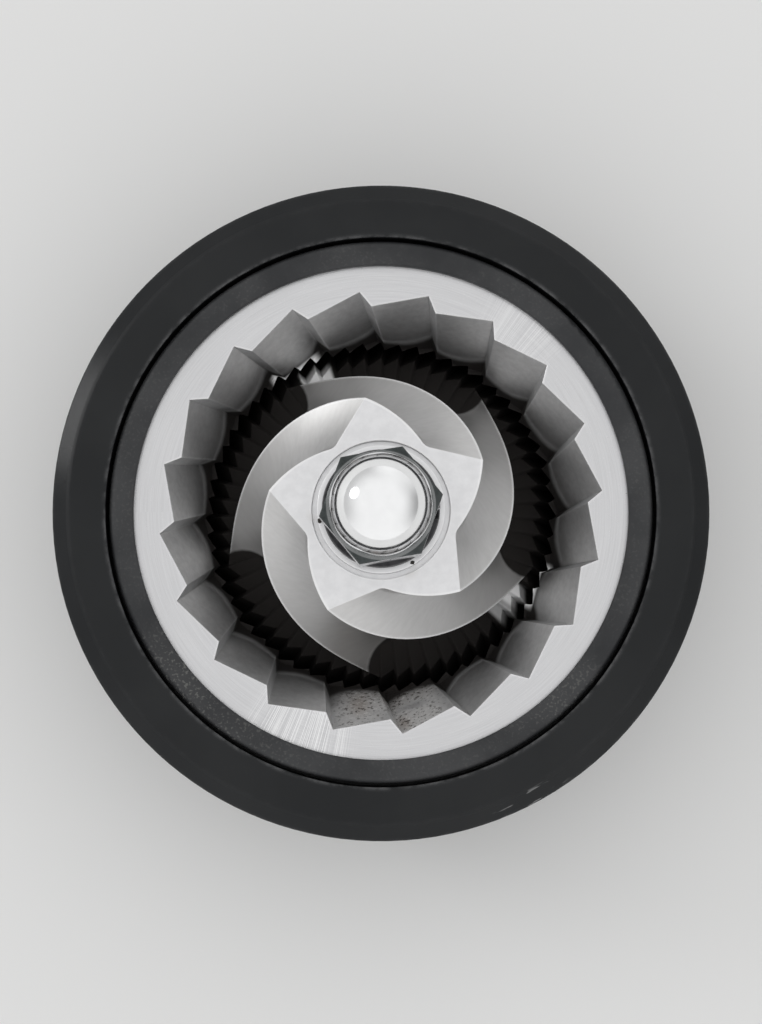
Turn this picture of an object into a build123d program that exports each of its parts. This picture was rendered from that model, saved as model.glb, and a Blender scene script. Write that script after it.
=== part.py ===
from build123d import *
import os
from math import cos, radians, sin, tan

# Conical burr set of a coffee grinder, in millimetres, with +Z up.
# The origin is on the grinding axis, in the plane that the carrier stands on.
# Angles are in degrees, counter-clockwise seen from above.

# Ring burr
ring_diameter = 48.0
ring_height = 18.0
rim_width = 2.95  # flat rim, from the outside edge to the tips of the coarse pockets
rim_chamfer = 0.3
coarse_teeth = 20
coarse_phase = 5.6
coarse_lean = 2.9  # the step of a coarse tooth leans back by this angle
coarse_turn = -4.5  # the pockets turn by this much on their way down to the throat
rim_step = 1.45
throat_step = 0.9
throat_depth = 8.0
ring_fine_teeth = 60
ring_fine_step = 0.8
ring_fine_turn = 6.0
fine_lean = 1.2
exit_wall = 3.7  # wall left behind the fine teeth where the grounds come out
grinding_angle = 18.0
grinding_overlap = 1.0  # the fine teeth are cut this far up into the coarse pockets

# Cone burr
vanes = 5
vane_phase = 26.0
vane_twist = 8.1  # degrees for each millimetre down
vane_sections = 11
vane_bulge = 0.6
vane_flare = 0.18  # share of the vanes' spread that comes late, at their lower ends
vane_flare_power = 10
vane_root_lag = 29.0  # angle from a vane's tip to the bottom of the flute behind it
vane_overlap = 0.8  # the vanes run this far below the throat, into the fine teeth
vane_sink = 0.1
flute_depth = 3.4
flute_end_depth = 2.6
flute_fillet = 1.2
flute_wall = 0.75  # from the washer recess to the bottom of a flute
star_rise = 3.5  # top face of the vanes above the rim of the ring
cone_fine_teeth = 60
cone_fine_step = 0.8
cone_fine_turn = -8.0
cone_lead = 0.6  # the fine teeth start this far below the throat
cone_lead_height = 2.2
cone_lead_inset = 0.3  # top of the lead, inside the bottom of the flutes
cone_lead_step = 0.08
cone_ground_gap = 1.0  # underside of the cone above the standing plane
cone_toe_inset = 0.45
exit_gap = 0.45
throat_gap = 0.9

# Carrier collar
ring_fit = 0.1
carrier_wall = 3.4
flange_reach = 3.5
flange_thickness = 3.6
flange_bevel_width = 1.6
flange_bevel_height = 1.0
flange_edge = 0.4
collar_rise = 1.8  # top of the collar above the rim of the ring
ledge_thickness = 3.0
ledge_clearance = 0.3  # from the fine teeth's roots to the edge of the ledge
spigot_step = 0.5
spigot_height = 6.0
spigot_chamfer = 0.6
lugs = 3
lug_gap = 1.0  # from the spigot's shoulder up to the lugs
lug_reach = 2.0
lug_height = 3.0
lug_ramp = 0.7
lug_arc = 26.0

# Gasket between the ring's rim and the collar
gasket_width = 1.6
gasket_fit = 0.02
gasket_seat_depth = 1.8  # floor of its groove below the rim
gasket_lip = 0.3  # reach of the lip over the rim
gasket_lip_height = 0.9
gasket_recess = 0.2  # its outer edge below the top of the collar
gasket_edge = 0.4
joint_gap = 0.35

# Retaining screws
screws = 3
screw_diameter = 3.0
screw_fit = 0.05
screw_recess = 0.3
screw_point_length = 1.0
screw_point_radius = 0.4
screw_point_fit = 0.1
screw_socket_width = 1.5
screw_socket_depth = 1.4
screw_drop = 5.0  # below the flange
screw_phase = 90.0

# Spindle
hub_diameter = 16.0
hub_roof = 1.5
hub_fit = 0.15
hub_chamfer = 0.5
shank_diameter = 8.0
shank_flats = 6.6
shank_fit = 0.05
shank_relief = 0.4  # top of the shank below the washer's seat
stud_diameter = 6.0
stud_chamfer = 0.6
socket_diameter = 8.0
socket_depth = 8.5
drive_slot_width = 3.0
drive_slot_depth = 2.5

# Washers and cap nut
washer_diameter = 12.0
washer_fit = 0.2
washer_thickness = 1.6
washer_recess_depth = 1.0
washer_recess_fit = 0.5
spring_diameter = 11.0
spring_fit = 0.1
spring_thickness = 1.4
spring_split = 0.8
spring_split_angle = 35.0
nut_width = 10.0  # across the flats
nut_hex_height = 5.0
nut_chamfer_angle = 30.0
nut_dome_inset = 0.25  # from the flats to the dome
nut_dome_collar = 1.2
nut_roof = 3.4
nut_turn = 10.0
nut_hole_fit = 0.05
stud_end_gap = 0.5

# Levels on the axis
ring_base = ledge_thickness
ring_top = ring_base + ring_height
throat_level = ring_top - throat_depth
collar_top = ring_top + collar_rise
flange_base = collar_top - flange_thickness
gasket_seat = ring_top - gasket_seat_depth
cone_top = ring_top + star_rise
hub_height = socket_depth + hub_roof
fine_start = throat_level - cone_lead
vane_end = throat_level - vane_overlap
washer_base = cone_top - washer_recess_depth
spring_base = washer_base + washer_thickness
nut_base = spring_base + spring_thickness
nut_hex_top = nut_base + nut_hex_height
nut_dome_base = nut_hex_top + nut_dome_collar
dome_radius = nut_width / 2 - nut_dome_inset
nut_hole_top = nut_dome_base + dome_radius - nut_roof
shank_top = washer_base - shank_relief
stud_top = nut_hole_top - stud_end_gap
screw_level = flange_base - screw_drop
lug_level = spigot_height + lug_gap

# Radii
ring_radius = ring_diameter / 2
exit_root_radius = ring_radius - exit_wall
exit_crest_radius = exit_root_radius - ring_fine_step
grinding_slope = tan(radians(grinding_angle))
throat_crest_radius = exit_crest_radius - (throat_level - ring_base) * grinding_slope
bore_radius = ring_radius + ring_fit
skirt_radius = bore_radius + carrier_wall
spigot_radius = skirt_radius - spigot_step
flange_radius = skirt_radius + flange_reach
gasket_radius = ring_radius + gasket_width
groove_radius = gasket_radius + joint_gap
ledge_radius = exit_root_radius + ledge_clearance
cone_exit_radius = exit_crest_radius - exit_gap
cone_throat_radius = throat_crest_radius - throat_gap
cone_slope = (cone_exit_radius - cone_throat_radius) / (throat_level - ring_base)
washer_recess_radius = washer_diameter / 2 + washer_recess_fit
flute_radius = washer_recess_radius + flute_wall
star_radius = flute_radius + flute_depth
vane_end_radius = cone_throat_radius + vane_overlap * cone_slope - vane_sink
shank_radius = shank_diameter / 2
stud_radius = stud_diameter / 2
hub_radius = hub_diameter / 2
screw_radius = screw_diameter / 2


def polar_point(radius, angle):
    return (radius * cos(radians(angle)), radius * sin(radians(angle)))


def radial_plane(angle):
    """Upright half plane through the axis: its X runs outwards and its Y runs up."""
    outwards = polar_point(1, angle)
    return Plane(origin=(0, 0, 0), x_dir=(*outwards, 0), z_dir=(outwards[1], -outwards[0], 0))


def screw_plane(screw, radius):
    """Plane across a screw's axis at this distance from the grinding axis, facing outwards."""
    angle = screw_phase + 360 / screws * screw
    origin = (*polar_point(radius, angle), screw_level)
    return Plane(origin=origin, z_dir=(*polar_point(1, angle), 0))


def screw_planes(radius):
    return [screw_plane(screw, radius) for screw in range(screws)]


def ratchet_section(level, teeth, tip_radius, step, lean, turn):
    """Sawtooth outline at one level: each tip drops by the step, then climbs to the next tip."""
    points = []
    for tooth in range(teeth):
        angle = turn + 360 / teeth * tooth
        points.append(polar_point(tip_radius - step, angle - lean))
        points.append(polar_point(tip_radius, angle))
    with BuildSketch(Plane.XY.offset(level)) as section:
        with BuildLine():
            Polyline(points, close=True)
        make_face()
    return section.sketch


def vane_radii(level):
    """Radius of the vanes' tips, and of the bottom of the flutes, at a level."""
    share = (cone_top - level) / (cone_top - vane_end)
    spread = (1 - vane_flare) * share + vane_flare * share**vane_flare_power
    tip_radius = star_radius + spread * (vane_end_radius - star_radius)
    return tip_radius, tip_radius - flute_depth - share * (flute_end_depth - flute_depth)


def vane_section(level):
    """Star outline of the vanes at a level."""
    tip_radius, root_radius = vane_radii(level)
    pitch = 360 / vanes
    with BuildSketch(Plane.XY.offset(level)) as section:
        with BuildLine():
            for vane in range(vanes):
                angle = vane_phase + vane_twist * (cone_top - level) + pitch * vane
                root = polar_point(root_radius, angle + vane_root_lag)
                Line(polar_point(tip_radius, angle), root)
                SagittaArc(root, polar_point(tip_radius, angle + pitch), -vane_bulge)
        make_face()
        fillet(section.vertices().sort_by_distance((0, 0))[:vanes], flute_fillet)
    return section.sketch


def ring_cut_radius(level):
    """Crest radius of the ring's fine teeth at a level."""
    return exit_crest_radius - (level - ring_base) * grinding_slope


# Ring burr, with coarse pockets above the throat and fine teeth below it
with BuildPart() as ring_burr:
    with BuildSketch(Plane.XY.offset(ring_base)):
        Circle(ring_radius)
    extrude(amount=ring_height)
    chamfer(ring_burr.edges().filter_by(GeomType.CIRCLE), rim_chamfer)
    rim_tip_radius = ring_radius - rim_width
    throat_tip_radius = throat_crest_radius + throat_step
    throat_phase = coarse_phase + coarse_turn
    pocket_sections = [
        ratchet_section(ring_top, coarse_teeth, rim_tip_radius, rim_step, coarse_lean, coarse_phase),
        ratchet_section(
            throat_level, coarse_teeth, throat_tip_radius, throat_step, coarse_lean, throat_phase
        ),
    ]
    loft(sections=pocket_sections, ruled=True, mode=Mode.SUBTRACT)
    fine_top = throat_level + grinding_overlap
    fine_top_radius = ring_cut_radius(fine_top) + ring_fine_step
    fine_sections = [
        ratchet_section(fine_top, ring_fine_teeth, fine_top_radius, ring_fine_step, fine_lean, 0),
        ratchet_section(
            ring_base, ring_fine_teeth, exit_root_radius, ring_fine_step, fine_lean, ring_fine_turn
        ),
    ]
    loft(sections=fine_sections, ruled=True, mode=Mode.SUBTRACT)
    with Locations(*screw_planes(ring_radius + screw_point_fit)):
        Cone(
            screw_point_radius,
            screw_radius,
            screw_point_length,
            align=(Align.CENTER, Align.CENTER, Align.MAX),
            mode=Mode.SUBTRACT,
        )
ring_burr.part.label = "ring_burr"

# Carrier collar that the ring burr drops into, with bayonet lugs on its skirt
with BuildPart() as burr_carrier:
    with BuildSketch(Plane.XZ):
        with BuildLine():
            Polyline(
                (ledge_radius, 0),
                (spigot_radius, 0),
                (spigot_radius, spigot_height),
                (skirt_radius, spigot_height),
                (skirt_radius, flange_base),
                (flange_radius, flange_base),
                (flange_radius, collar_top - flange_bevel_height),
                (flange_radius - flange_bevel_width, collar_top),
                (groove_radius, collar_top),
                (groove_radius, gasket_seat),
                (bore_radius, gasket_seat),
                (bore_radius, ring_base),
                (ledge_radius, ring_base),
                close=True,
            )
        make_face()
    revolve(axis=Axis.Z)
    rims = burr_carrier.edges().filter_by(GeomType.CIRCLE)
    chamfer(rims.filter_by_position(Axis.Z, 0, 0).sort_by(SortBy.RADIUS)[-1], spigot_chamfer)
    flange_rims = rims.filter_by_position(Axis.Z, flange_base, flange_base)
    fillet(flange_rims.sort_by(SortBy.RADIUS)[-1], flange_edge)
    for lug in range(lugs):
        lug_angle = screw_phase + (lug + 0.5) * 360 / lugs - lug_arc / 2
        with BuildSketch(radial_plane(lug_angle)):
            with BuildLine():
                Polyline(
                    (skirt_radius - carrier_wall / 2, lug_level),
                    (skirt_radius + lug_reach - lug_ramp, lug_level),
                    (skirt_radius + lug_reach, lug_level + lug_ramp),
                    (skirt_radius + lug_reach, lug_level + lug_height),
                    (skirt_radius - carrier_wall / 2, lug_level + lug_height),
                    close=True,
                )
            make_face()
        revolve(axis=Axis.Z, revolution_arc=lug_arc)
    with BuildSketch(*screw_planes(bore_radius - carrier_wall / 2)):
        Circle(screw_radius + screw_fit)
    extrude(amount=2 * carrier_wall, mode=Mode.SUBTRACT)
burr_carrier.part.label = "burr_carrier"

# Gasket that fills the groove between the collar and the rim
with BuildPart() as carrier_gasket:
    lip_radius = ring_radius - rim_chamfer - gasket_lip
    with BuildSketch(Plane.XZ) as gasket_profile:
        with BuildLine():
            Polyline(
                (ring_radius + gasket_fit, gasket_seat),
                (gasket_radius, gasket_seat),
                (gasket_radius, collar_top - gasket_recess),
                (lip_radius, ring_top + gasket_lip_height),
                (lip_radius, ring_top),
                (ring_radius + gasket_fit, ring_top),
                close=True,
            )
        make_face()
        fillet(gasket_profile.vertices().sort_by(Axis.Y)[-1], gasket_edge)
    revolve(axis=Axis.Z)
carrier_gasket.part.label = "carrier_gasket"

# Grub screws that hold the ring burr in its carrier
screw_end_radius = skirt_radius - screw_recess
retaining_screws = []
for screw in range(screws):
    with BuildPart() as retaining_screw:
        with BuildSketch(screw_plane(screw, screw_end_radius)):
            Circle(screw_radius)
        extrude(amount=-(screw_end_radius - ring_radius - screw_point_fit))
        with Locations(screw_plane(screw, ring_radius + screw_point_fit)):
            Cone(
                screw_point_radius - screw_point_fit,
                screw_radius - screw_point_fit,
                screw_point_length - screw_point_fit,
                align=(Align.CENTER, Align.CENTER, Align.MAX),
            )
        with BuildSketch(screw_plane(screw, screw_end_radius)):
            RegularPolygon(screw_socket_width / 2, 6, major_radius=False)
        extrude(amount=-screw_socket_depth, mode=Mode.SUBTRACT)
    retaining_screw.part.label = f"retaining_screw_{screw + 1}"
    retaining_screws.append(retaining_screw)

# Cone burr, with vanes that draw the beans in above a cone of fine teeth
with BuildPart() as cone_burr:
    vane_pitch = (cone_top - vane_end) / (vane_sections - 1)
    loft(sections=[vane_section(cone_top - vane_pitch * step) for step in range(vane_sections)])
    lead_radius = cone_throat_radius + cone_lead * cone_slope
    lead_top = fine_start + cone_lead_height
    lead_top_radius = vane_radii(lead_top)[1] - cone_lead_inset
    toe_radius = cone_exit_radius - cone_toe_inset
    tooth_sections = [
        ratchet_section(lead_top, cone_fine_teeth, lead_top_radius, cone_lead_step, fine_lean, 0),
        ratchet_section(fine_start, cone_fine_teeth, lead_radius, cone_fine_step, fine_lean, 0),
        ratchet_section(
            ring_base, cone_fine_teeth, cone_exit_radius, cone_fine_step, fine_lean, cone_fine_turn
        ),
        ratchet_section(
            cone_ground_gap, cone_fine_teeth, toe_radius, cone_fine_step, fine_lean, cone_fine_turn
        ),
    ]
    loft(sections=tooth_sections, ruled=True)
    with BuildSketch(Plane.XY.offset(washer_base)):
        Circle(washer_recess_radius)
    extrude(amount=washer_recess_depth, mode=Mode.SUBTRACT)
    with BuildSketch(Plane.XY):
        Circle(hub_radius + hub_fit)
    extrude(amount=hub_height, mode=Mode.SUBTRACT)
    with BuildSketch(Plane.XY.offset(hub_height)):
        Circle(shank_radius + shank_fit)
        Rectangle(
            shank_diameter + 2 * shank_fit, shank_flats + 2 * shank_fit, mode=Mode.INTERSECT
        )
    extrude(amount=washer_base - hub_height, mode=Mode.SUBTRACT)
cone_burr.part.label = "cone_burr"

# Spindle, with a driven hub below, a flatted shank and a threaded stud
with BuildPart() as spindle:
    Cylinder(hub_radius, hub_height, align=(Align.CENTER, Align.CENTER, Align.MIN))
    chamfer(spindle.edges().filter_by(GeomType.CIRCLE).group_by(Axis.Z)[0], hub_chamfer)
    with BuildSketch(Plane.XY.offset(hub_height)):
        Circle(shank_radius)
        Rectangle(shank_diameter, shank_flats, mode=Mode.INTERSECT)
    extrude(amount=shank_top - hub_height)
    with BuildSketch(Plane.XY.offset(shank_top)):
        Circle(stud_radius)
    extrude(amount=stud_top - shank_top)
    chamfer(spindle.edges().filter_by(GeomType.CIRCLE).group_by(Axis.Z)[-1], stud_chamfer)
    with BuildSketch(Plane.XY):
        Circle(socket_diameter / 2)
    extrude(amount=socket_depth, mode=Mode.SUBTRACT)
    with BuildSketch(Plane.XY):
        Rectangle(2 * hub_diameter, drive_slot_width)
    extrude(amount=drive_slot_depth, mode=Mode.SUBTRACT)
spindle.part.label = "spindle"

# Flat washer, seated in the recess of the cone
with BuildPart() as flat_washer:
    with BuildSketch(Plane.XY.offset(washer_base)):
        Circle(washer_diameter / 2)
        Circle(stud_radius + washer_fit, mode=Mode.SUBTRACT)
    extrude(amount=washer_thickness)
flat_washer.part.label = "flat_washer"

# Split spring washer
with BuildPart() as spring_washer:
    with BuildSketch(Plane.XY.offset(spring_base)):
        Circle(spring_diameter / 2)
        Circle(stud_radius + spring_fit, mode=Mode.SUBTRACT)
    extrude(amount=spring_thickness)
    split_middle = spring_base + spring_thickness / 2
    with Locations(Location((0, 0, split_middle), (spring_split_angle, 0, 0))):
        Box(
            spring_diameter,
            spring_split,
            spring_diameter,
            align=(Align.MIN, Align.CENTER, Align.CENTER),
            mode=Mode.SUBTRACT,
        )
spring_washer.part.label = "spring_washer"

# Domed cap nut
with BuildPart() as cap_nut:
    with BuildSketch(Plane.XY.offset(nut_base)):
        RegularPolygon(nut_width / 2, 6, major_radius=False, rotation=nut_turn)
    extrude(amount=nut_hex_height)
    # A cone that starts at the flats' circle trims the six corners
    corner_reach = nut_width / 2
    corner_drop = corner_reach * tan(radians(nut_chamfer_angle))
    with BuildSketch(Plane.XZ):
        with BuildLine():
            Polyline(
                (0, nut_base),
                (nut_width / 2 + corner_reach, nut_base),
                (nut_width / 2 + corner_reach, nut_hex_top - corner_drop),
                (nut_width / 2, nut_hex_top),
                (0, nut_hex_top),
                close=True,
            )
        make_face()
    revolve(axis=Axis.Z, mode=Mode.INTERSECT)
    with BuildSketch(Plane.XZ):
        with BuildLine():
            Polyline((0, nut_hex_top), (dome_radius, nut_hex_top), (dome_radius, nut_dome_base))
            CenterArc((0, nut_dome_base), dome_radius, 0, 90)
            Line((0, nut_dome_base + dome_radius), (0, nut_hex_top))
        make_face()
    revolve(axis=Axis.Z)
    with BuildSketch(Plane.XY.offset(nut_base)):
        Circle(stud_radius + nut_hole_fit)
    extrude(amount=nut_hole_top - nut_base, mode=Mode.SUBTRACT)
cap_nut.part.label = "cap_nut"

os.makedirs("parts", exist_ok=True)
export_step(ring_burr.part, "parts/ring_burr.step")
export_step(burr_carrier.part, "parts/burr_carrier.step")
export_step(carrier_gasket.part, "parts/carrier_gasket.step")
for retaining_screw in retaining_screws:
    export_step(retaining_screw.part, f"parts/{retaining_screw.part.label}.step")
export_step(cone_burr.part, "parts/cone_burr.step")
export_step(spindle.part, "parts/spindle.step")
export_step(flat_washer.part, "parts/flat_washer.step")
export_step(spring_washer.part, "parts/spring_washer.step")
export_step(cap_nut.part, "parts/cap_nut.step")
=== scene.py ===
import math

import bpy
from mathutils import Matrix, Vector


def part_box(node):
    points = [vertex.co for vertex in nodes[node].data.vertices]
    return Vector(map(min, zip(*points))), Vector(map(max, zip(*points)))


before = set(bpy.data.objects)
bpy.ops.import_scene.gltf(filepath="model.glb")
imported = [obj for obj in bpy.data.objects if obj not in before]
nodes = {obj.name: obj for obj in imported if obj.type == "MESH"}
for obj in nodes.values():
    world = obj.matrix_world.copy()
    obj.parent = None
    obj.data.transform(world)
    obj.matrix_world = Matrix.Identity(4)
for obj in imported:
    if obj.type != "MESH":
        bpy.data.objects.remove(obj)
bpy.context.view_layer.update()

MM = 0.001
rim_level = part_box("ring_burr")[1].z
star_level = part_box("cone_burr")[1].z
collar_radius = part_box("burr_carrier")[1].x
throat_depth = 8 * MM
throat_level = rim_level - throat_depth
hex_height = 5 * MM
hex_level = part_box("cap_nut")[0].z + hex_height
bevel_radius = 29.5 * MM

# Coarse pockets of the ring, which turn on their way down to the throat
coarse_teeth = 20
coarse_pitch = 2 * math.pi / coarse_teeth
coarse_phase = math.radians(5.6)
coarse_turn = math.radians(-4.5)
pocket_middle = 0.45

# Fine teeth of the cone, which start below the throat and spread as they go down
lead_drop = 0.6 * MM
lead_level = throat_level - lead_drop
lead_radius = 15.57 * MM
lead_spread = 2.11

# Near black of the fine teeth: partly coffee grime, partly painted shade
grime_and_shade_dark = (0.012, 0.010, 0.009, 1)
edge_samples = 6

# Photograph's view: almost straight down, from a little in front
frame_width = 762
frame_height = 1024
camera_distance = 0.32
camera_tilt = 3.5
object_share = 0.86
sensor_size = 36.0

# Studio: a pale floor, a soft room and one lamp at the left
floor_half = 3.0
ceiling_light = 0.92
wall_light = 0.38
back_left_light = 0.20
front_light = 0.56
back_right_light = 0.40
lamp_place = (-0.82, 0.32, 0.42)
lamp_size = 0.34
lamp_power = 1.1


class Signal:
    """An output socket in a material's node tree. Arithmetic on it adds Math nodes."""

    def __init__(self, tree, socket=None):
        self.tree = tree
        self.socket = socket

    def add(self, kind, settings=None, inputs=None, output=0):
        """Adds a node of this kind: its settings first, then the values or links of its sockets."""
        node = self.tree.nodes.new("ShaderNode" + kind)
        for name, value in (settings or {}).items():
            setattr(node, name, value)
        for name, value in (inputs or {}).items():
            if isinstance(value, Signal):
                self.tree.links.new(value.socket, node.inputs[name])
            else:
                node.inputs[name].default_value = value
        return Signal(self.tree, node.outputs[output]) if node.outputs else None

    def out(self, name):
        """Another output of the same node."""
        return Signal(self.tree, self.socket.node.outputs[name])

    def math(self, operation, *values):
        return self.add("Math", {"operation": operation}, dict(enumerate(values)))

    def __add__(self, other):
        return self.math("ADD", self, other)

    __radd__ = __add__

    def __sub__(self, other):
        return self.math("SUBTRACT", self, other)

    def __rsub__(self, other):
        return self.math("SUBTRACT", other, self)

    def __mul__(self, other):
        return self.math("MULTIPLY", self, other)

    __rmul__ = __mul__

    def __truediv__(self, other):
        return self.math("DIVIDE", self, other)

    def __rtruediv__(self, other):
        return self.math("DIVIDE", other, self)

def rise(value, low, high):
    """0 where the value is at low, 1 where it is at high, with a smooth step between."""
    limits = {"Value": value, "From Min": low, "From Max": high}
    return value.add("MapRange", {"interpolation_type": "SMOOTHSTEP"}, limits)


def grey(level):
    return (level, level, level, 1)


def mix(share, first, second):
    """Colour that goes from the first to the second as the share goes from 0 to 1."""
    settings = {"data_type": "RGBA", "clamp_factor": True}
    return share.add("Mix", settings, {0: share, 6: first, 7: second}, output=2)


def noise(place, scale, detail=2.0, roughness=0.5):
    inputs = {"Vector": place, "Scale": scale, "Detail": detail, "Roughness": roughness}
    return place.add("TexNoise", None, inputs)


class Place:
    """Where a point of the surface is: its place in the frame, and its radius and angle about the axis."""

    def __init__(self, tree):
        self.point = Signal(tree).add("TexCoord", output="Object")
        self.x = self.point.add("SeparateXYZ", None, {0: self.point})
        self.y = self.x.out("Y")
        self.z = self.x.out("Z")
        self.radius = self.x.math("SQRT", self.x * self.x + self.y * self.y)
        self.angle = self.x.math("ARCTAN2", self.y, self.x)

    def polar(self, along_radius, along_angle, along_height=0.0):
        """Polar coordinates with their own stretch, for marks that run round or across the axis."""
        parts = {
            "X": self.radius * along_radius,
            "Y": self.angle * along_angle,
            "Z": self.z * along_height,
        }
        return self.x.add("CombineXYZ", None, parts)

    def spot(self, x, y, size):
        """1 above a point in millimetres, falling to 0 at that distance from it."""
        across = self.x - x * MM
        along = self.y - y * MM
        distance = self.x.math("SQRT", across * across + along * along)
        return rise(distance, size * MM, 0)

    def sector(self, low, high, soft):
        """1 between two angles in degrees from -180 to 180, with soft ends."""
        low_side = rise(self.angle, math.radians(low - soft), math.radians(low + soft))
        high_side = rise(self.angle, math.radians(high + soft), math.radians(high - soft))
        return low_side * high_side


def upward(tree):
    """Height of the face's normal: 1 on a level top face and 0 on an upright wall."""
    normal = Signal(tree).add("NewGeometry", output="Normal")
    return normal.add("SeparateXYZ", None, {0: normal}, output="Z")


def rounded_edges(tree, radius):
    """A normal that rounds the edges."""
    return Signal(tree).add("Bevel", {"samples": edge_samples}, {"Radius": radius})


def soft_edges(tree, radius):
    """A normal that rounds the edges, and how much each point of the surface lies on an outside edge."""
    rounded = rounded_edges(tree, radius)
    settings = {"inside": True, "only_local": True, "samples": edge_samples}
    thin = rounded.add("AmbientOcclusion", settings, {"Distance": 2 * radius}, "AO")
    return rounded, rise(thin, 0.92, 0.55)


def bump(height, strength, distance, normal=None):
    inputs = {"Height": height, "Strength": strength, "Distance": distance}
    if normal is not None:
        inputs["Normal"] = normal
    return height.add("Bump", None, inputs)


def new_material(name):
    material = bpy.data.materials.new(name)
    material.use_nodes = True
    material.node_tree.nodes.clear()
    return material


def close_material(material, sockets):
    """Joins a Principled shader with these socket values to the material's output."""
    tree = material.node_tree
    shader = Signal(tree).add("BsdfPrincipled", None, sockets)
    shader.add("OutputMaterial", None, {"Surface": shader})
    return material


def ring_steel():
    """Ground bright on the rim, satin in the coarse pockets; darker down the pockets and near black in the
    fine teeth, partly coffee and partly painted shade, with painted highlights.
    """
    material = new_material("ring_steel")
    tree = material.node_tree
    place = Place(tree)
    rounded, edge = soft_edges(tree, 0.14 * MM)
    rim = rise(upward(tree), 0.9, 0.98) * rise(place.z, rim_level - 0.6 * MM, rim_level - 0.2 * MM)

    mottle = noise(place.point, 1500, 4, 0.6)
    pits = noise(place.point, 5200, 3, 0.7)
    grind = noise(place.polar(9000, 3), 1.0, 4, 0.7)
    cloud = noise(place.point, 220, 3, 0.5)

    pocket = mix(rise(mottle, 0.25, 0.75), (0.72, 0.72, 0.725, 1), (0.83, 0.83, 0.835, 1))
    bright = mix(rise(grind, 0.25, 0.75), (0.60, 0.60, 0.61, 1), (0.69, 0.69, 0.70, 1))
    color = mix(rim, pocket, bright)

    streaks = noise(place.polar(60, 260), 1.0, 3, 0.65)
    worn = place.sector(-122, -99, 4) + place.sector(44, 61, 5) * 0.45
    scratched = rise(streaks, 0.46, 0.60) * worn * rim
    color = mix(scratched * 0.8, color, grey(0.97))
    dulled = rise(streaks, 0.46, 0.36) * worn * rim
    color = mix(dulled * 0.45, color, (0.52, 0.52, 0.53, 1))

    # Painted shade mixed with coffee stain: the pockets darken towards the throat and into their corners
    depth = (rim_level - place.z) / throat_depth
    turned = place.angle - coarse_phase - depth * coarse_turn
    along_pocket = turned.math("FRACT", turned / coarse_pitch + coarse_teeth)
    off_middle = (along_pocket - pocket_middle) / pocket_middle
    corner = off_middle * off_middle * 0.16
    stain_and_shade = rise(depth + corner + (cloud - 0.5) * 0.2, 0.45, 1.05)
    color = mix(stain_and_shade * 0.6 * (1 - rim), color, (0.05, 0.048, 0.046, 1))

    residue = place.sector(-103, -72, 5) * (1 - rim) * rise(cloud, 0.32, 0.55)
    flecks = noise(place.point, 2600, 3, 0.65)
    crumbs = residue * rise(flecks, 0.55, 0.62)
    stain = (place.spot(-2.1, -18.2, 1.5) + place.spot(2.2, -19.9, 1.0)) * (1 - rim)
    color = mix(residue * 0.3, color, (0.20, 0.17, 0.14, 1))
    color = mix(stain * 0.4, color, (0.22, 0.15, 0.10, 1))
    color = mix(residue * rise(flecks, 0.42, 0.34) * 0.5, color, (0.85, 0.84, 0.83, 1))
    color = mix(crumbs * 0.8, color, (0.045, 0.035, 0.027, 1))
    # Painted highlights: two narrow sectors of the fine teeth are painted near white and less metallic,
    # and the dark is held back there
    wear_and_glint = place.sector(112, 128, 2) + place.sector(-31, -17, 2)
    painted_glint = wear_and_glint * rise(depth, 0.92, 0.98)
    # The fine teeth are painted near black from a little below the throat: partly coffee grime, partly
    # painted shade
    grime_and_shade_depth = depth + corner * 0.6 - wear_and_glint * 0.08 + (cloud - 0.5) * 0.12
    grime_and_shade = rise(grime_and_shade_depth, 0.76, 0.92) * (1 - painted_glint)
    color = mix(grime_and_shade * 0.97, color, grime_and_shade_dark)
    color = mix(painted_glint, color, grey(0.95))
    # Outside edges painted lighter and less metallic: partly edge wear, partly painted highlight
    color = mix(edge * 0.65 * (1 - grime_and_shade), color, grey(0.93))

    rough = 0.46 - rim * 0.16 + (pits - 0.5) * 0.16 + grime_and_shade * 0.3 + residue * 0.2
    height = mottle * 0.35 * (1 - rim) + grind * rim * 0.6 + scratched * 0.4 + crumbs * 0.8
    close_material(material, {
        "Base Color": color,
        "Metallic": 1.0 - grime_and_shade * 0.6 - residue * 0.35 - edge * 0.4 - painted_glint * 0.6,
        "Roughness": rough,
        "Specular IOR Level": 0.1,
        "Normal": bump(height, 0.2, 0.04 * MM, rounded),
    })
    return material


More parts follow.
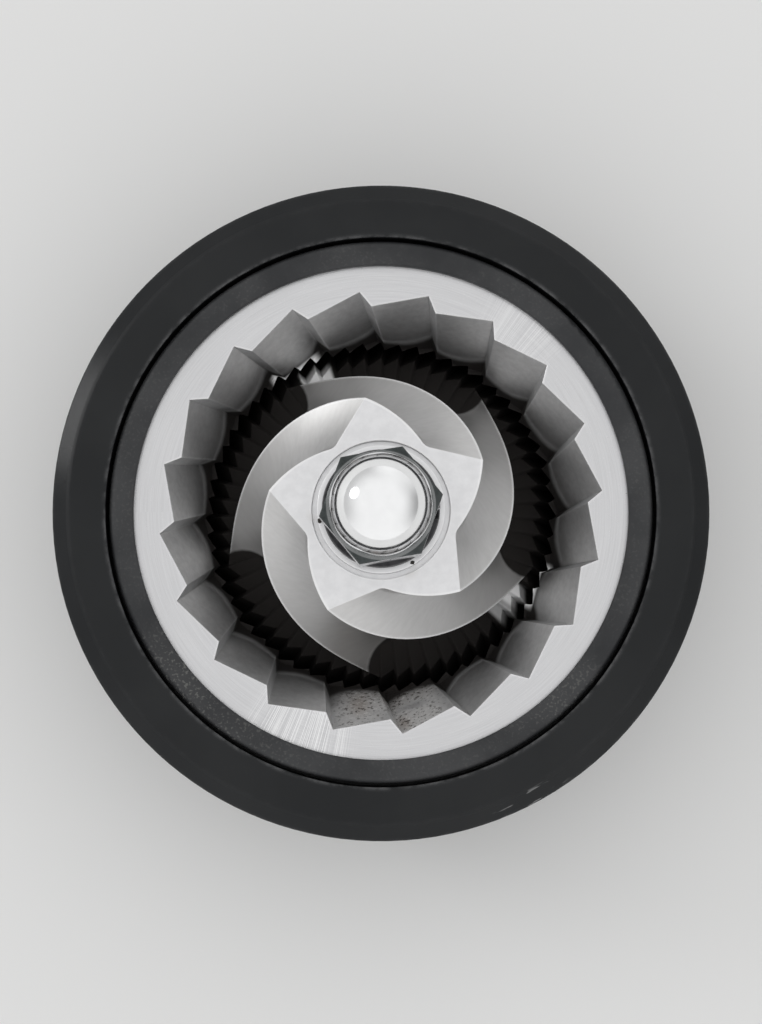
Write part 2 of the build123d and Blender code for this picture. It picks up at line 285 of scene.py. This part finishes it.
def cone_steel():
    """Ground bright on top of the vanes, satin in the flutes; darker down the flutes and near black in the
    fine teeth, partly coffee and partly painted shade, with painted highlights.
    """
    material = new_material("cone_steel")
    tree = material.node_tree
    place = Place(tree)
    rounded, edge = soft_edges(tree, 0.14 * MM)
    top = rise(upward(tree), 0.9, 0.98) * rise(place.z, star_level - 1.6 * MM, star_level - 1.2 * MM)

    mottle = noise(place.point, 900, 4, 0.6)
    cutter = noise(place.polar(500, 9, 4200), 1.0, 3, 0.6)

    flute = mix(rise(cutter, 0.25, 0.75), (0.62, 0.615, 0.61, 1), (0.67, 0.665, 0.66, 1))
    bright = mix(rise(mottle, 0.3, 0.7), (0.73, 0.73, 0.74, 1), (0.79, 0.79, 0.80, 1))
    color = mix(top, flute, bright)
    # Darker towards the bottom of the flutes: partly coffee stain, partly painted shade
    depth = rise(place.z, star_level - 2.0 * MM, throat_level + 1.0 * MM)
    color = mix(depth * 0.6, color, (0.17, 0.165, 0.16, 1))
    # The fine teeth are painted near black below the lead line: partly coffee grime, partly painted shade
    lead = lead_radius + (lead_level - place.z) * lead_spread
    toothed = rise(lead - place.radius, -0.35 * MM, -0.1 * MM)
    toothed = toothed * rise(place.z, 1.5 * MM, 3 * MM)
    # Painted highlights: narrow sectors of the fine teeth are painted near white and less metallic, and
    # the dark is held back there
    wear_and_glint = place.sector(109, 120, 1) + place.sector(-34, -26, 1) + place.sector(-41, -34, 1) * 0.4
    painted_glint = wear_and_glint * rise(place.z, lead_level - 3 * MM, lead_level - 1 * MM)
    grime_and_shade = toothed * (1 - painted_glint)
    color = mix(grime_and_shade * 0.97, color, grime_and_shade_dark)
    color = mix(toothed * painted_glint, color, grey(0.97))
    # Outside edges painted lighter and less metallic: partly edge wear, partly painted highlight
    color = mix(edge * 0.8 * (1 - grime_and_shade), color, grey(0.96))

    smear = (place.spot(-6.2, -1.2, 1.8) + place.spot(2.6, -5.6, 1.4)) * top
    color = mix(smear * rise(mottle, 0.4, 0.6) * 0.35, color, (0.42, 0.40, 0.37, 1))

    rough = 0.40 - top * 0.08 + (cutter - 0.5) * 0.08 + grime_and_shade * 0.3
    height = cutter * (1 - top) * 0.2 + mottle * 0.15
    close_material(material, {
        "Base Color": color,
        "Metallic": 1.0 - grime_and_shade * 0.6 - edge * 0.5 - toothed * painted_glint * 0.6,
        "Roughness": rough,
        "Specular IOR Level": 0.1,
        "Normal": bump(height, 0.2, 0.03 * MM, rounded),
    })
    return material


def nut_plating():
    """Polished dome on a bright hexagon whose upward faces are painted dark as a reflection."""
    material = new_material("nut_plating")
    tree = material.node_tree
    place = Place(tree)
    rounded, edge = soft_edges(tree, 0.16 * MM)
    haze = noise(place.point, 700, 4, 0.6)
    marks = noise(place.polar(300, 4, 5000), 1.0, 3, 0.7)
    hexagon = rise(place.z, hex_level + 0.15 * MM, hex_level - 0.05 * MM)
    sides = rise(upward(tree), 0.3, 0.1)
    dome = mix(rise(haze, 0.3, 0.7), (0.93, 0.935, 0.94, 1), (0.96, 0.965, 0.97, 1))
    # Painted reflection: the hexagon's upward faces are painted dark, standing in for dark surroundings
    # reflected in them; the sides stay bright
    painted_dark_reflection = mix(rise(haze, 0.3, 0.7), (0.045, 0.051, 0.051, 1), (0.080, 0.088, 0.088, 1))
    plated = mix(rise(haze, 0.3, 0.7), (0.58, 0.58, 0.585, 1), (0.68, 0.68, 0.685, 1))
    color = mix(hexagon, dome, mix(sides, painted_dark_reflection, plated))
    color = mix(edge * hexagon * 0.08, color, grey(0.8))
    rough = 0.07 + rise(haze, 0.35, 0.75) * 0.05 + hexagon * 0.2 + rise(marks, 0.5, 0.7) * 0.05
    close_material(material, {
        "Base Color": color,
        "Metallic": 1.0,
        "Roughness": rough,
        "Normal": bump(marks * 0.4 + haze * 0.6, 0.04, 0.02 * MM, rounded),
    })
    return material


def washer_plating():
    """Bright plating with faint lines round the washer, a crumb of coffee, and a dark patch beside the
    nut's dark outline.
    """
    material = new_material("washer_plating")
    tree = material.node_tree
    place = Place(tree)
    rounded, edge = soft_edges(tree, 0.12 * MM)
    haze = noise(place.point, 500, 4, 0.6)
    lines = noise(place.polar(7000, 3, 4000), 1.0, 3, 0.7)
    color = mix(rise(haze, 0.3, 0.7), (0.78, 0.78, 0.79, 1), (0.85, 0.85, 0.86, 1))
    color = mix(edge * 0.5, color, grey(0.92))
    ragged = noise(place.point, 4000, 2, 0.6)
    # Two dark specks: a coffee crumb at the left, and a dark patch at the front right beside the nut's
    # dark outline
    dark_specks = place.spot(-5.7, -1.05, 0.5) + place.spot(2.95, -4.95, 0.42) * 0.9
    dark_specks = rise(dark_specks + (ragged - 0.5) * 0.9, 0.42, 0.55)
    close_material(material, {
        "Base Color": mix(dark_specks, color, (0.02, 0.016, 0.012, 1)),
        "Metallic": 1.0 - dark_specks,
        "Roughness": 0.32 + rise(haze, 0.35, 0.75) * 0.1 + (lines - 0.5) * 0.1 + dark_specks * 0.3,
        "Normal": bump(lines * 0.2 + dark_specks, 0.2, 0.05 * MM, rounded),
    })
    return material


def turned_steel():
    """Turned spindle with fine tool lines round its axis."""
    material = new_material("turned_steel")
    tree = material.node_tree
    place = Place(tree)
    rounded, edge = soft_edges(tree, 0.15 * MM)
    lines = noise(place.polar(6000, 1.5, 9000), 1.0, 3, 0.7)
    color = mix(rise(lines, 0.3, 0.7), (0.46, 0.46, 0.465, 1), (0.62, 0.62, 0.625, 1))
    close_material(material, {
        "Base Color": mix(edge * 0.5, color, grey(0.8)),
        "Metallic": 1.0,
        "Roughness": 0.3 + lines * 0.15,
        "Normal": bump(lines, 0.2, 0.02 * MM, rounded),
    })
    return material


def black_steel():
    """Blackened spring steel and grub screws, rubbed a little on their edges."""
    material = new_material("black_steel")
    tree = material.node_tree
    place = Place(tree)
    rounded, edge = soft_edges(tree, 0.1 * MM)
    cloud = noise(place.point, 1500, 3, 0.6)
    color = mix(rise(cloud, 0.3, 0.7), (0.03, 0.03, 0.032, 1), (0.06, 0.06, 0.063, 1))
    close_material(material, {
        "Base Color": mix(edge * 0.3, color, grey(0.4)),
        "Metallic": 0.9,
        "Roughness": 0.35 + cloud * 0.15,
        "Normal": bump(cloud, 0.1, 0.02 * MM, rounded),
    })
    return material


def carrier_plastic():
    """Satin black moulding, rubbed grey on its edges, with a smoother bevel that has a few scratches."""
    material = new_material("carrier_plastic")
    tree = material.node_tree
    place = Place(tree)
    rounded, edge = soft_edges(tree, 0.25 * MM)
    grain = noise(place.point, 3200, 3, 0.6)
    cloud = noise(place.point, 90, 4, 0.55)
    wear_and_glint = noise(place.polar(900, 14), 1.0, 4, 0.7)
    color = mix(rise(cloud, 0.3, 0.7), (0.007, 0.008, 0.009, 1), (0.012, 0.013, 0.014, 1))
    bevel = rise(place.radius, bevel_radius, bevel_radius + 0.3 * MM) * rise(upward(tree), 0.4, 0.6)
    color = mix(edge * rise(wear_and_glint, 0.35, 0.65) * 0.4, color, (0.20, 0.20, 0.205, 1))
    streaks = noise(place.polar(2600, 9), 1.0, 2, 0.5)
    scratched = rise(streaks, 0.60, 0.66) * place.sector(-69, -57, 3) * bevel
    color = mix(scratched * 0.6, color, grey(0.3))
    rough = 0.38 - bevel * 0.16 + (cloud - 0.5) * 0.16 + (grain - 0.5) * 0.1 + scratched * 0.15
    close_material(material, {
        "Base Color": color,
        "Roughness": rough,
        "Specular IOR Level": 0.26,
        "Normal": bump(grain + scratched * 0.3, 0.1, 0.03 * MM, rounded),
    })
    return material


def gasket_rubber():
    """Dull dark rubber with coffee dust caught on it, most of it at the front left."""
    material = new_material("gasket_rubber")
    tree = material.node_tree
    place = Place(tree)
    rounded = rounded_edges(tree, 0.2 * MM)
    grain = noise(place.point, 1800, 3, 0.6)
    cloud = noise(place.point, 140, 3, 0.5)
    specks = noise(place.point, 3800, 2, 0.5)
    dusty = place.sector(-150, -118, 14) + place.sector(-60, -35, 12) * 0.5
    dust = rise(specks, 0.54, 0.68) * (0.2 + dusty * 0.8) * rise(cloud, 0.35, 0.6)
    color = mix(rise(cloud, 0.3, 0.7), (0.010, 0.011, 0.013, 1), (0.034, 0.035, 0.037, 1))
    color = mix(dust * 0.6, color, (0.17, 0.17, 0.16, 1))
    close_material(material, {
        "Base Color": color,
        "Roughness": 0.62 + dust * 0.2 + (grain - 0.5) * 0.1,
        "Normal": bump(grain + dust * 0.8, 0.2, 0.05 * MM, rounded),
    })
    return material


def pale_floor():
    """Plain pale paint."""
    material = new_material("pale_floor")
    tree = material.node_tree
    place = Place(tree)
    cloud = noise(place.point, 6, 2, 0.5)
    color = mix(cloud, (0.78, 0.78, 0.775, 1), (0.80, 0.80, 0.795, 1))
    close_material(material, {
        "Base Color": color,
        "Roughness": 0.7,
    })
    return material


def dress(material, *names):
    for name in names:
        mesh = nodes[name].data
        mesh.materials.clear()
        mesh.materials.append(material)


def make_floor():
    half = floor_half
    mesh = bpy.data.meshes.new("floor")
    corners = [(-half, -half, 0), (half, -half, 0), (half, half, 0), (-half, half, 0)]
    mesh.from_pydata(corners, [], [(0, 1, 2, 3)])
    mesh.materials.append(pale_floor())
    floor = bpy.data.objects.new("floor", mesh)
    scene.collection.objects.link(floor)


def facing(location, target, up):
    """Rotation that turns -Z from a place towards a target, with this way up."""
    back = (Vector(location) - Vector(target)).normalized()
    right = Vector(up).cross(back).normalized()
    return Matrix((right, back.cross(right), back)).transposed().to_euler()


def make_camera():
    target = Vector((0, 0, rim_level))
    tilt = math.radians(camera_tilt)
    back = Vector((0, -math.sin(tilt), math.cos(tilt)))
    data = bpy.data.cameras.new("camera")
    view_width = 2 * collar_radius / object_share
    view_height = view_width * frame_height / frame_width
    data.sensor_width = sensor_size
    data.lens = sensor_size * camera_distance / view_height
    data.clip_start = 0.01
    camera = bpy.data.objects.new("camera", data)
    camera.location = target + back * camera_distance
    camera.rotation_euler = facing(camera.location, target, (0, 1, 0))
    scene.collection.objects.link(camera)
    scene.camera = camera


def make_lamp(name, location, size, power):
    data = bpy.data.lights.new(name, "AREA")
    data.shape = "DISK"
    data.size = size
    data.energy = power
    lamp = bpy.data.objects.new(name, data)
    lamp.location = location
    lamp.rotation_euler = facing(location, (0, 0, rim_level), (0, 1, 0.01))
    scene.collection.objects.link(lamp)


def make_world():
    """A soft room: brightest overhead, with walls that are brighter at the front and the back."""
    world = bpy.data.worlds.new("soft_room")
    scene.world = world
    world.use_nodes = True
    tree = world.node_tree
    tree.nodes.clear()
    direction = Signal(tree).add("TexCoord", output="Generated")
    across = direction.add("SeparateXYZ", None, {0: direction})
    along = across.out("Y")
    height = across.out("Z")
    back_left = rise(along - across, -0.4, 1.1)
    front = rise(along, -0.1, -0.9)
    back_right = rise(across * 0.5 + along * 0.87, 0.6, 1.0)
    walls = wall_light + back_left_light * back_left + front_light * front + back_right_light * back_right
    level = rise(height, 0.0, 0.75)
    brightness = walls + (ceiling_light - walls) * level
    light = height.add("Background", None, {"Color": grey(1), "Strength": brightness})
    light.add("OutputWorld", None, {"Surface": light})


scene = bpy.context.scene
scene.view_settings.view_transform = "Standard"
dress(ring_steel(), "ring_burr")
dress(cone_steel(), "cone_burr")
dress(nut_plating(), "cap_nut")
dress(washer_plating(), "flat_washer")
dress(turned_steel(), "spindle")
dress(black_steel(), "spring_washer", *(name for name in nodes if name.startswith("retaining_screw")))
dress(carrier_plastic(), "burr_carrier")
dress(gasket_rubber(), "carrier_gasket")
make_floor()
make_camera()
make_world()
make_lamp("window_lamp", lamp_place, lamp_size, lamp_power)
